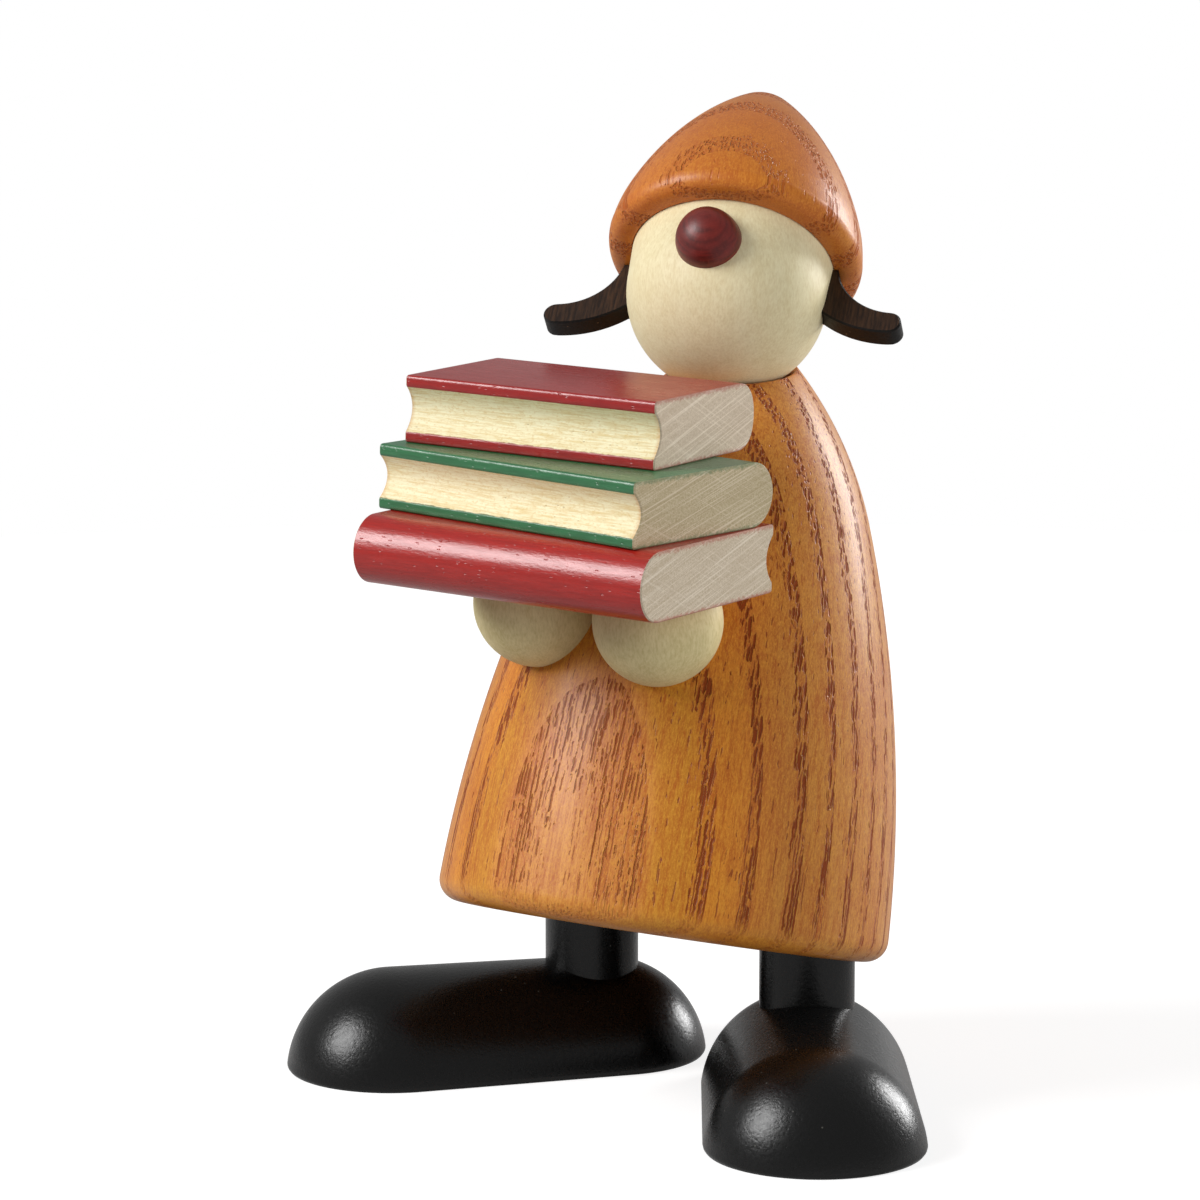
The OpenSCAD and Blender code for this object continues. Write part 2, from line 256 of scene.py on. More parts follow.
class Shader:
    """A node material, with short names for the nodes used here."""

    def __init__(self, name, roughness=0.5, coat=0.0, coat_roughness=0.2, specular=0.5):
        self.mat = bpy.data.materials.new(name)
        self.mat.use_nodes = True
        self.tree = self.mat.node_tree
        self.tree.nodes.clear()
        self.bsdf = self.add("ShaderNodeBsdfPrincipled")
        self.add("ShaderNodeOutputMaterial", self.bsdf.outputs[0])
        self.bsdf.inputs["Roughness"].default_value = roughness
        self.bsdf.inputs["Coat Weight"].default_value = coat
        self.bsdf.inputs["Coat Roughness"].default_value = coat_roughness
        self.bsdf.inputs["Specular IOR Level"].default_value = specular

    def add(self, kind, *inputs, **settings):
        return add_node(self.tree, kind, *inputs, **settings)

    def math(self, op, a, b=0.0):
        return self.add("ShaderNodeMath", a, b, operation=op).outputs[0]

    def plus(self, a, b):
        return self.math("ADD", a, b)

    def minus(self, a, b):
        return self.math("SUBTRACT", a, b)

    def times(self, a, b):
        return self.math("MULTIPLY", a, b)

    def vec(self, op, a, b):
        return self.add("ShaderNodeVectorMath", a, b, operation=op).outputs["Vector"]

    def mix(self, amount, a, b):
        node = self.add("ShaderNodeMix", amount, data_type="RGBA")
        put(self.tree, node.inputs[6], a)
        put(self.tree, node.inputs[7], b)
        return node.outputs[2]

    def span(self, value, low, high, to_low=0.0, to_high=1.0, smooth=True):
        """value from low..high to to_low..to_high, held at the ends."""
        kind = "SMOOTHSTEP" if smooth else "LINEAR"
        node = self.add("ShaderNodeMapRange", value, low, high, to_low, to_high, interpolation_type=kind)
        return node.outputs[0]

    def coords(self, place=None):
        """Object coordinates in millimetres, seen from a frame given as a 4x4 matrix in millimetres."""
        inverse = (place or Matrix.Identity(4)).inverted()
        node = self.add("ShaderNodeMapping", self.add("ShaderNodeTexCoord").outputs["Object"])
        node.inputs["Location"].default_value = inverse.translation
        node.inputs["Rotation"].default_value = inverse.to_3x3().to_euler("XYZ")
        node.inputs["Scale"].default_value = (1.0 / MM,) * 3
        return node.outputs[0]

    def normal_along(self, axis):
        """How far the surface faces along a fixed axis of the piece."""
        normal = self.add("ShaderNodeTexCoord").outputs["Normal"]
        return self.add("ShaderNodeVectorMath", normal, axis, operation="DOT_PRODUCT").outputs["Value"]

    def split(self, vector):
        return self.add("ShaderNodeSeparateXYZ", vector).outputs[:3]

    def noise_node(self, vector, waves):
        node = self.add("ShaderNodeTexNoise", self.vec("MULTIPLY", vector, waves))
        node.inputs["Scale"].default_value = 1.0
        return node

    def noise(self, vector, waves, detail=2.0, rough=0.5):
        """A noise from 0 to 1, with about so many waves in a millimetre along X, Y and Z."""
        node = self.noise_node(vector, waves)
        node.inputs["Detail"].default_value = detail
        node.inputs["Roughness"].default_value = rough
        return node.outputs[0]

    def drift(self, vector, waves, reach):
        """A noise for each axis, round zero, by which points wander up to half of reach."""
        colour = self.noise_node(vector, waves).outputs["Color"]
        return self.vec("MULTIPLY", self.vec("SUBTRACT", colour, (0.5, 0.5, 0.5)), reach)

    def cells(self, vector, sizes, flat=False):
        """Distance to the nearest cell's middle, in cells of these sizes, and a random value per cell.
        Flat cells look the same all along Z, like tubes."""
        node = self.add("ShaderNodeTexVoronoi", voronoi_dimensions="2D" if flat else "3D")
        put(self.tree, node.inputs["Vector"], self.vec("MULTIPLY", vector, tuple(1.0 / s for s in sizes)))
        node.inputs["Scale"].default_value = 1.0
        return node.outputs["Distance"], self.split(node.outputs["Color"])[0]

    def spots(self, vector, sizes, edge, share):
        """Soft spots in a share of the cells of these sizes. edge is where a spot starts to fade and where
        it ends, in cells from its middle."""
        near, chance = self.cells(vector, sizes)
        return self.times(self.span(near, *edge, 1.0, 0.0), self.math("LESS_THAN", chance, share))

    def ramp(self, value, stops):
        node = self.add("ShaderNodeValToRGB", value)
        els = node.color_ramp.elements
        while len(els) < len(stops):
            els.new(0.5)
        for el, (pos, colour) in zip(els, stops):
            el.position = pos
            el.color = colour if hasattr(colour, "__len__") else (colour, colour, colour, 1.0)
        return node.outputs[0]

    def paint(self, base, *layers):
        """Sets the colour: layers of (amount, colour), each over what is below it."""
        for amount, colour in layers:
            base = self.mix(amount, base, colour)
        put(self.tree, self.bsdf.inputs["Base Color"], base)

    def rough(self, value, low, high, smoothest, roughest):
        put(self.tree, self.bsdf.inputs["Roughness"],
            self.span(value, low, high, smoothest, roughest, smooth=False))

    def bump(self, height, distance_mm, strength):
        node = self.add("ShaderNodeBump")
        node.inputs["Strength"].default_value = strength
        node.inputs["Distance"].default_value = distance_mm * MM
        put(self.tree, node.inputs["Height"], height)
        put(self.tree, self.bsdf.inputs["Normal"], node.outputs[0])


# Depth to both sides of a wood frame's origin that the stops of ash_wood cover
DEPTH_REACH = 30.0
# Two sets of large pores: offset, cell size, the most that are kept, and the bore as a share of a cell
PORE_SETS = (((0.0, 0.0, 0.0), 0.48, 0.98, 0.40), ((0.27, 0.31, 0.0), 0.60, 0.50, 0.31))
FINE_CELL = (0.32, 0.32, 1.0)


def ash_wood(name, place, pith, ring, first_ring, by_depth, early, gold, pore_dark, sealed_and_painted_lighter):
    """Stained, lacquered ash. place is the wood's frame: X towards the bark, Z along the grain.
    pith is the distance back to the tree's middle, ring the mean year's width and first_ring the place
    of one year's start. by_depth holds stops over the depth towards the bark: shift moves the other
    years' starts, tint is the late wood's colour, where some paler stops are partly a painted sheen,
    spring the share of a year that has open pores, and bore their size. Below the hem's given heights,
    at its end grain, lacquer fills the pores, and the wood there is also painted lighter as a painted
    brightening of the down-facing hem."""
    s = Shader(name, coat=0.12, coat_roughness=0.22, specular=0.34)
    p = s.coords(place)
    x, y, z = s.split(p)

    # Years: the depth towards the bark, a little wavy, and how far each point is through its year
    wave = s.span(s.noise(p, (0.11, 0.11, 0.022)), 0.0, 1.0, -0.22, 0.22, smooth=False)
    from_pith = s.math("SQRT", s.plus(s.math("POWER", s.plus(x, pith), 2.0), s.times(y, y)))
    depth = s.plus(s.minus(from_pith, pith), wave)
    share = s.span(depth, -DEPTH_REACH, DEPTH_REACH, smooth=False)
    at_depth = {key: s.ramp(share, [(0.5 + 0.5 * d / DEPTH_REACH, v) for d, v in stops])
                for key, stops in by_depth.items()}
    shifted = s.plus(depth, s.minus(at_depth["shift"], 1.0))
    year = s.math("FRACT", s.math("DIVIDE", s.minus(shifted, first_ring), ring))
    fade_from, fade_to = (s.times(at_depth["spring"], k) for k in (0.7, 1.3))
    spring = s.times(s.span(year, 0.0, 0.015), s.span(year, fade_from, fade_to, 1.0, 0.0))

    # Pores: tubes along the grain that wander, so that the surface cuts them into dashes
    sway = s.drift(p, (0.42, 0.42, 0.1176), (0.55, 0.55, 0.0))
    ripple = s.drift(p, (0.95, 0.95, 1.14), (0.52, 0.26, 0.0))
    wiggle = s.vec("ADD", s.vec("ADD", p, sway), ripple)
    broken = s.span(s.noise(p, (1.7, 1.7, 0.52), 1.0), 0.3, 0.7, -0.3, 0.3, smooth=False)
    # Towards the hem, lacquer fills the pores. The same band is also painted lighter further down, as
    # painted light
    open_pores_not_painted_lighter = s.span(z, *sealed_and_painted_lighter, 0.3, 1.0)

    def kept(chance, fewest, most):
        """Which tubes are there: most in spring wood, the fewest in late wood."""
        limit = s.span(spring, 0.0, 1.0, fewest, most, smooth=False)
        return s.math("LESS_THAN", s.plus(chance, broken), limit)

    tubes = []
    for offset, size, most, bore in PORE_SETS:
        near, chance = s.cells(s.vec("ADD", wiggle, offset), (size, size, 1.0), flat=True)
        wall = s.times(at_depth["bore"], bore)
        hole = s.span(near, s.times(wall, 0.5), wall, 1.0, 0.0)
        tubes.append(s.times(hole, kept(chance, -0.28, most)))
    pore = s.times(s.math("MAXIMUM", *tubes), open_pores_not_painted_lighter)
    near, chance = s.cells(wiggle, FINE_CELL, flat=True)
    fine = s.times(s.times(s.span(near, 0.14, 0.35, 1.0, 0.0), kept(chance, 0.03, 0.88)), open_pores_not_painted_lighter)
    stain = s.times(at_depth["bore"], s.math("MAXIMUM", pore, s.times(fine, 0.88)))

    # Colour: the late wood's tint, then early wood and gold in streaks, clouds, lines, fibres and grit, and
    # gold towards the hem as a painted brightening of its down-facing edge
    fibre = s.noise(p, (5.4, 5.4, 1.3), 3.0, 0.64)
    streak = s.noise(p, (1.9, 1.9, 0.10), 2.0, 0.6)
    line = s.noise(p, (3.6, 3.6, 0.16), 2.0, 0.6)
    cloud = s.noise(p, (0.20, 0.20, 0.09))
    grit = s.noise(p, (6.5, 6.5, 3.6), 2.0, 0.7)
    end_grain = s.math("ABSOLUTE", s.normal_along(place.col[2].xyz))
    s.paint(at_depth["tint"],
            (s.times(spring, 0.30), early),
            (s.span(streak, 0.46, 0.64, 0.0, 0.48), early),
            (s.span(cloud, 0.44, 0.64, 0.0, 0.30), early),
            (s.span(line, 0.54, 0.68, 0.0, 0.50), early),
            (s.span(fibre, 0.50, 0.66, 0.0, 0.42), gold),
            (s.span(fibre, 0.36, 0.50, 0.36, 0.0), early),
            (s.span(grit, 0.52, 0.70, 0.0, 0.40), gold),
            (s.span(grit, 0.32, 0.48, 0.34, 0.0), early),
            (s.span(end_grain, 0.45, 0.98, 0.0, 0.34), early),
            # Painted light: gold towards the hem brightens its down-facing lower edge, which the lamps leave
            # in shade
            (s.span(open_pores_not_painted_lighter, 0.3, 1.0, 0.16, 0.0), gold),
            (s.times(stain, 0.92), pore_dark))
    s.rough(s.plus(pore, s.times(fibre, 0.3)), 0.0, 1.1, 0.37, 0.82)
    pits = s.plus(s.times(pore, -1.0), s.times(fine, -0.22))
    s.bump(s.plus(pits, s.times(s.plus(fibre, grit), 0.10)), 0.18, 0.9)
    return s.mat


def pale_wood(name, place, light, dark, roughness):
    """Bare pale wood, sanded smooth: faint years, fine fibres and flecks."""
    s = Shader(name, specular=0.17)
    p = s.coords(place)
    fibre = s.noise(p, (4.4, 4.4, 1.4), 3.0, 0.62)
    mottle = s.noise(p, (0.9, 0.9, 0.72), 3.0, 0.62)
    years = s.noise(p, (0.50, 0.06, 0.03), 1.0)
    shade = s.plus(s.plus(s.times(fibre, 0.56), s.times(mottle, 0.28)), s.times(years, 0.22))
    fleck = s.spots(p, (0.30, 0.30, 0.9), (0.10, 0.30), 0.20)
    s.paint(light,
            (s.span(shade, 0.36, 0.74), dark),
            (s.times(fleck, 0.22), dark))
    s.rough(fibre, 0.3, 0.7, roughness - 0.05, roughness + 0.07)
    s.bump(s.minus(fibre, s.times(fleck, 0.5)), 0.05, 0.5)
    return s.mat


def nose_wood(name, place, red, line, light):
    """Dark red stained bead: turning lines round its axis and short fibres."""
    s = Shader(name, coat=0.4, coat_roughness=0.40, specular=0.3)
    p = s.coords(place)
    lines = s.noise(p, (0.35, 2.6, 0.35), 3.0, 0.6)
    fibre = s.noise(p, (4.0, 1.0, 4.0))
    s.paint(red,
            (s.span(lines, 0.35, 0.7), line),
            (s.span(fibre, 0.48, 0.78, 0.0, 0.4), light))
    s.rough(fibre, 0.3, 0.7, 0.40, 0.52)
    s.bump(s.plus(lines, fibre), 0.05, 0.4)
    return s.mat


def dark_hair(name, place, lit, shade, bare, worn):
    """Dark stained plate wood: fine fibres along Z, and small nicks where the stain is worn off."""
    s = Shader(name, specular=0.25)
    p = s.coords(place)
    fibre = s.noise(p, (3.0, 3.0, 0.30), 3.0, 0.65)
    broad = s.noise(p, (0.25, 0.25, 0.25))
    nick = s.spots(p, (0.55, 0.55, 0.75), (0.08, 0.24), worn)
    s.paint(shade,
            (s.span(fibre, 0.34, 0.68), lit),
            (s.span(broad, 0.35, 0.70, 0.0, 0.45), shade),
            (s.times(nick, 0.6), bare))
    s.rough(fibre, 0.3, 0.7, 0.42, 0.56)
    s.bump(fibre, 0.06, 0.5)
    return s.mat


def black_paint(name, black, dusty, speck_grey):
    """Satin black paint with the slight orange peel of a sprayed or dipped coat, and specks of dust."""
    s = Shader(name, specular=0.37)
    p = s.coords()
    peel = s.noise(p, (2.2, 2.2, 2.2), 3.0, 0.6)
    dust = s.noise(p, (4.0, 4.0, 4.0))
    speck = s.spots(p, (1.5, 1.5, 1.5), (0.03, 0.085), 0.30)
    s.paint(black,
            (s.span(dust, 0.35, 0.7), dusty),
            (s.times(speck, 0.6), speck_grey))
    s.rough(peel, 0.3, 0.7, 0.25, 0.32)
    s.bump(s.plus(peel, s.times(dust, 0.3)), 0.05, 0.7)
    return s.mat


def book_paint(name, place, light, dark, rub):
    """Satin paint on wood: even colour, a fine orange peel, and the wood's grain as pits along X."""
    s = Shader(name, specular=0.62)
    p = s.coords(place)
    grain = s.noise(p, (0.30, 3.2, 3.2), 3.0, 0.6)
    patch = s.noise(p, (0.30, 0.30, 0.30))
    peel = s.noise(p, (1.5, 4.0, 4.0), 2.0, 0.6)
    pin = s.spots(p, (0.9, 0.26, 0.26), (0.10, 0.30), 0.26)
    s.paint(light,
            (s.span(grain, 0.30, 0.72), dark),
            (s.span(patch, 0.40, 0.70, 0.0, 0.30), rub),
            (s.times(pin, 0.35), dark))
    s.rough(grain, 0.3, 0.7, 0.26, 0.33)
    s.bump(s.minus(s.plus(s.times(grain, 0.22), s.times(peel, 0.55)), pin), 0.07, 0.6)
    return s.mat


def book_pages(name, place, reach, half, paint, light, dark):
    """Bare cream wood in the hollow of a fore-edge: fine broken streaks along X, like the edges of leaves,
    darker near the book's ends, with a ragged line of paint from the boards."""
    s = Shader(name, roughness=0.62, specular=0.25)
    p = s.coords(place)
    x, _, z = s.split(p)
    leaves = s.noise(p, (0.34, 2.0, 5.2), 3.0, 0.70)
    mottle = s.noise(p, (2.4, 3.0, 4.0), 3.0, 0.68)
    speck = s.spots(p, (0.8, 0.4, 0.34), (0.08, 0.24), 0.10)
    near_end = s.span(s.math("ABSOLUTE", x), reach - 0.7, reach, 0.0, 0.55)
    ragged = s.span(s.noise(p, (0.7, 2.4, 2.4), 3.0, 0.6), 0.3, 0.7, -0.08, 0.06, smooth=False)
    level = s.plus(s.math("ABSOLUTE", z), ragged)
    board = half - BOARD_T
    s.paint(light,
            (s.span(leaves, 0.40, 0.70, 0.0, 0.74), dark),
            (s.span(mottle, 0.48, 0.72, 0.0, 0.65), dark),
            (s.times(speck, 0.45), PAGE_SPECK),
            (near_end, PAGE_END),
            (s.span(level, board - 0.10, board - 0.01, 0.0, 0.85), paint))
    s.bump(s.minus(leaves, speck), 0.10, 0.6)
    return s.mat


def sawn_end(name, place, slant, half, paint, light, dark, mark):
    """Sawn end of a book: end grain with fine slanting saw marks, some of them crossed, and fuzzy paint
    at the boards. Y and Z lie in the face."""
    s = Shader(name, roughness=0.7, specular=0.2)
    along = s.coords(place @ turn("X", slant))
    grain = s.coords(place @ turn("X", 0.3 * slant))
    across = s.coords(place @ turn("X", -1.6 * slant))
    marks = s.noise(along, (0.3, 0.05, 6.4), 2.0, 0.75)
    scores = s.noise(along, (0.3, 0.03, 2.4), 1.0, 0.7)
    cross = s.noise(across, (0.3, 0.07, 4.6), 2.0, 0.7)
    speck = s.noise(grain, (5.5, 5.5, 5.5), 3.0, 0.7)
    years = s.noise(grain, (0.1, 0.12, 1.1))
    fuzz = s.span(s.noise(grain, (2.2, 2.2, 2.2), 2.0, 0.6), 0.3, 0.7, -0.22, 0.22, smooth=False)
    level = s.plus(s.math("ABSOLUTE", s.split(s.coords(place))[2]), fuzz)
    s.paint(light,
            (s.span(speck, 0.30, 0.70), dark),
            (s.span(years, 0.42, 0.75, 0.0, 0.30), dark),
            (s.span(scores, 0.55, 0.66, 0.0, 0.40), dark),
            (s.span(marks, 0.52, 0.64, 0.0, 0.62), mark),
            (s.span(cross, 0.56, 0.68, 0.0, 0.30), mark),
            (s.span(level, half - 0.55, half - 0.05, 0.0, 0.50), paint))
    s.bump(s.plus(marks, s.times(speck, 0.5)), 0.07, 0.5)
    return s.mat


def wood_frame(origin, grain, towards_bark, tip):
    """Frame with Z along the grain and X towards the bark, tipped by some degrees."""
    x = (towards_bark - grain * towards_bark.dot(grain)).normalized()
    axes = Matrix((x, grain.cross(x), grain)).transposed().to_4x4()
    return Matrix.Translation(origin) @ axes @ turn("Y", -tip)


# The coat's rings are flat layers that lean a little, with the bark side to the front
COAT_GRAIN = Vector((0.0, math.sin(math.radians(COAT_LEAN)), math.cos(math.radians(COAT_LEAN))))
BARK_AZ, RING_TIP = math.radians(7.16), 3.58
COAT_BARK = Vector((math.sin(BARK_AZ), -math.cos(BARK_AZ), 0.0))
COAT_WOOD = wood_frame(COAT_AT, COAT_GRAIN, COAT_BARK, RING_TIP)
COAT_DEPTHS = {
    "shift": [(-30.0, 1.0), (3.18, 1.0), (6.8, 0.82), (10.55, 0.5), (13.73, 0.75), (17.85, 0.06),
              (20.9, 0.44), (23.77, 1.0), (30.0, 1.0)],
    # The tint stops past 24 mm, inside the arch on the coat's front, are paler and pinker: partly the wood's
    # own tone, partly a painted sheen of the key lamp's broad highlight
    "tint": [(-30.0, srgb(208, 142, 68)), (8.0, srgb(210, 144, 68)), (16.0, srgb(208, 136, 54)),
             (19.0, srgb(226, 144, 48)), (21.4, srgb(220, 140, 44)), (22.4, srgb(206, 138, 42)),
             (23.6, srgb(208, 138, 46)), (24.0, srgb(224, 150, 72)), (30.0, srgb(228, 158, 78))],
    "spring": [(-30.0, 0.33), (30.0, 0.33)],
    "bore": [(-30.0, 1.0), (23.4, 1.0), (23.8, 0.78), (30.0, 0.78)]}

# The cap's grain runs nearly along its axis, with the bark side to the back
CAP_GRAIN = HEAD.to_3x3() @ Vector((0.0, -0.16, 0.987)).normalized()
CAP_BARK = HEAD.to_3x3() @ Vector((-0.05, 1.0, 0.0))
CAP_WOOD = wood_frame(HEAD_AT, CAP_GRAIN, CAP_BARK, 0.0)
CAP_DEPTHS = {
    "shift": [(-30.0, 1.0), (30.0, 1.0)],
    "tint": [(-30.0, srgb(210, 126, 44)), (-12.4, srgb(210, 126, 44)), (-12.0, srgb(212, 128, 46)),
             (-7.0, srgb(206, 116, 40)), (-4.0, srgb(208, 130, 52)), (30.0, srgb(204, 126, 50))],
    "spring": [(-30.0, 0.27), (-8.5, 0.27), (-6.5, 0.42), (30.0, 0.42)],
    "bore": [(-30.0, 0.84), (-8.5, 0.84), (-6.5, 1.0), (30.0, 1.0)]}
# The cap has no hem, so its sealed heights lie below it
CAP_SEALED = (-30.0, -29.0)

RED = (srgb(178, 34, 27), srgb(156, 24, 18), srgb(168, 29, 22))
DARK_RED = (srgb(170, 34, 30), srgb(148, 24, 22), srgb(160, 28, 26))
GREEN = (srgb(54, 120, 76), srgb(40, 100, 60), srgb(46, 108, 66))
CREAM = (srgb(250, 241, 204), srgb(226, 198, 136))
PAGE_SPECK, PAGE_END = srgb(176, 136, 82), srgb(214, 158, 98)
WORN_HAIR = srgb(150, 128, 100)

coat_mat = ash_wood("coat_ash", COAT_WOOD, pith=147.0, ring=3.43, first_ring=23.96, by_depth=COAT_DEPTHS,
                    early=srgb(178, 86, 28), gold=srgb(234, 168, 60), pore_dark=srgb(138, 56, 14),
                    sealed_and_painted_lighter=(0.4, 2.4))
cap_mat = ash_wood("cap_ash", CAP_WOOD, pith=56.7, ring=5.47, first_ring=-12.2, by_depth=CAP_DEPTHS,
                   early=srgb(186, 96, 34), gold=srgb(228, 152, 60), pore_dark=srgb(182, 92, 32),
                   sealed_and_painted_lighter=CAP_SEALED)
face_mat = pale_wood("face_maple", HEAD @ turn("X", 25.0), light=srgb(245, 234, 194),
                     dark=srgb(228, 212, 166), roughness=0.44)
hand_mat = pale_wood("hand_maple", PILE @ turn("X", 8.0), light=srgb(234, 220, 170),
                     dark=srgb(210, 194, 138), roughness=0.5)
dowel_mat = pale_wood("neck_beech", Matrix.Identity(4), light=srgb(224, 202, 158),
                      dark=srgb(196, 170, 124), roughness=0.6)
nose_mat = nose_wood("nose_cherry", HEAD, red=srgb(116, 32, 26), line=srgb(80, 18, 14),
                     light=srgb(134, 48, 38))
hair_mat = dark_hair("hair_face", HEAD, lit=srgb(70, 47, 30), shade=srgb(32, 20, 13),
                     bare=WORN_HAIR, worn=0.015)
hair_edge_mat = dark_hair("hair_edge", HEAD, lit=srgb(24, 18, 14), shade=srgb(8, 7, 6),
                          bare=WORN_HAIR, worn=0.07)
black_mat = black_paint("black_paint", black=srgb(2, 2, 2), dusty=srgb(6, 6, 6),
                        speck_grey=srgb(112, 110, 104))


# The figure

def coat_piece():
    """The turned coat, with the hollow seat for the head at its top and the neck's bore in the seat."""
    steps, flank_rows, seat_rows, underside_radii = 288, 110, 14, (8.0, 16.0)
    start = (COAT_HEM_R - COAT_HEM_ROUND, 0.0)
    hem = [start] + arc(start, -90.0, COAT_FLANK[0], COAT_HEM_ROUND, 14)
    side = np.array(turned_outline(hem[-1], [(*COAT_FLANK, 200), (*COAT_SHOULDER, 120)], tip_n=120))
    ones = np.ones(len(side))
    run = np.concatenate([[0.0], np.cumsum(np.linalg.norm(np.diff(side, axis=0), axis=1))])
    to_model = np.array(COAT)
    centre = np.array(HEAD_AT)
    neck = math.asin(NECK_R / SEAT_R)

    def at(r, z, a):
        """A point of the coat's own frame, as a point of the model."""
        return (to_model @ np.array([r * math.cos(a), r * math.sin(a), z, 1.0]))[:3]

    def on_side(length, a):
        """The point this far up the coat's side."""
        return at(np.interp(length, run, side[:, 0]), np.interp(length, run, side[:, 1]), a)

    def on_seat(polar, around):
        flat = math.sin(polar)
        out = np.array([flat * math.cos(around), flat * math.sin(around), -math.cos(polar)])
        return centre + SEAT_R * out

    def column(a):
        """One line of points: underside, hem, flank, the seat's soft edge, the seat and the bore."""
        spun = np.column_stack([side[:, 0] * math.cos(a), side[:, 0] * math.sin(a), side[:, 1], ones])
        gap = np.linalg.norm((spun @ to_model.T)[:, :3] - centre, axis=1) - SEAT_R
        i = int(np.argmax(gap < 0))
        stop = run[i - 1] + (run[i] - run[i - 1]) * gap[i - 1] / (gap[i - 1] - gap[i])
        rim = on_side(stop, a)
        out = rim - centre
        around = math.atan2(out[1], out[0])
        first = math.acos(-out[2] / np.linalg.norm(out)) - SEAT_SOFT / SEAT_R
        line = [at(r, 0.0, a) for r in underside_radii] + [at(r, z, a) for r, z in hem]
        line += [on_side((stop - SEAT_SOFT) * k / flank_rows, a) for k in range(1, flank_rows + 1)]
        outer, inner = line[-1], on_seat(first, around)
        line += [bend(outer, rim, inner, t) for t in (0.25, 0.5, 0.75, 1.0)]
        line += [on_seat(first + (neck - first) * k / seat_rows, around) for k in range(1, seat_rows + 1)]
        bore = (NECK_R * math.cos(around), HEAD_AT[1] + NECK_R * math.sin(around), NECK_LOW)
        return line + [np.array(bore)]

    columns = [column(2 * math.pi * j / steps) for j in range(steps)]
    rows = np.swapaxes(np.array(columns), 0, 1)
    verts, faces = loop_mesh(rows, at(0.0, 0.0, 0.0), (0.0, HEAD_AT[1], NECK_LOW))
    piece("coat_wood", verts, faces, Matrix.Identity(4), "coat", "figure", [coat_mat])


def crown_outline(grow):
    """The head above its middle: a slight flare and the dome inside the cap."""
    r = CROWN_R + grow
    dome = circle_pts((0.0, CROWN_UP), r, 0.0, 90.0, 23)[1:-1]
    return [(FACE_R + grow, 0.0), (r, CROWN_UP)] + dome + [(0.0, CROWN_UP + r)]


def head_piece():
    """The ball with its crown, and the bore that turns on the neck dowel."""
    ball = circle_pts((0.0, 0.0), FACE_R, -90.0, 0.0, 48)[:-1]
    verts, faces = lathe(ball + crown_outline(0.0), steps=160)
    head = piece("head_ball", verts, faces, HEAD, "head", "head", [face_mat])
    below_head = 60.0
    bar = [(0.0, below_head), (NECK_HOLE_R, below_head), (NECK_HOLE_R, NECK_HOLE_TOP), (0.0, NECK_HOLE_TOP)]
    neck_line = Matrix.Translation((0.0, HEAD_AT[1], 0.0))
    cut(head, in_scene("cutter", clean_mesh("cutter", *lathe(bar, steps=64), neck_line)))


def cap_piece():
    """The hollow pointed cap, with a soft rim that bulges at the bottom."""
    start = (CAP_R - CAP_RIM_ROUND, CAP_RIM)
    curves = [(-90.0, 0.0, CAP_RIM_ROUND, 12), (*CAP_LOW, 24), (*CAP_HIGH, 56)]
    outer = turned_outline(start, curves, tip_n=32)
    soft = soft_corner((0.0, CAP_RIM), (CAP_R, CAP_RIM), (CAP_R, CAP_RIM + 1.0), CAP_SOFT, 20)
    past_soft = CAP_RIM + CAP_SOFT + 0.05
    outer = soft + [q for q in outer if q[1] > past_soft]
    inner_r = FACE_R + (CROWN_R - FACE_R) * CAP_RIM / CROWN_UP + CAP_CLEAR
    lip = soft_corner((inner_r, CAP_RIM + 1.0), (inner_r, CAP_RIM), soft[0], CAP_LIP_SOFT)
    hollow = crown_outline(CAP_CLEAR)[1:]
    verts, faces = lathe(hollow[::-1] + lip + outer, steps=224)
    piece("cap_wood", verts, faces, HEAD, "cap", "head", [cap_mat])


def nose_piece():
    """A turned bead, a little flattened on its upper left side, with a peg that goes into the head."""
    place = HEAD @ turn("Z", -NOSE_ASIDE) @ turn("X", NOSE_DROP) @ turn("X", 90.0)
    join = math.degrees(math.asin(NOSE_PEG_R / NOSE_R))
    bead = circle_pts((0.0, NOSE_OUT), NOSE_R, join - 90.0, 90.0, 39)
    verts, faces = lathe([(0.0, NOSE_PEG_IN), (NOSE_PEG_R, NOSE_PEG_IN)] + bead, steps=96)
    middle = Vector((0.0, 0.0, NOSE_OUT))

    def flattened(v):
        if v.z <= NOSE_OUT - NOSE_R:
            return v
        facing = max(0.0, (v - middle).dot(NOSE_FLAT_SIDE) / NOSE_R)
        return v - NOSE_FLAT_SIDE * NOSE_FLAT * facing ** 3

    verts = [flattened(Vector(v)) for v in verts]
    piece("nose_bead", verts, faces, place, "nose", "head", [nose_mat])


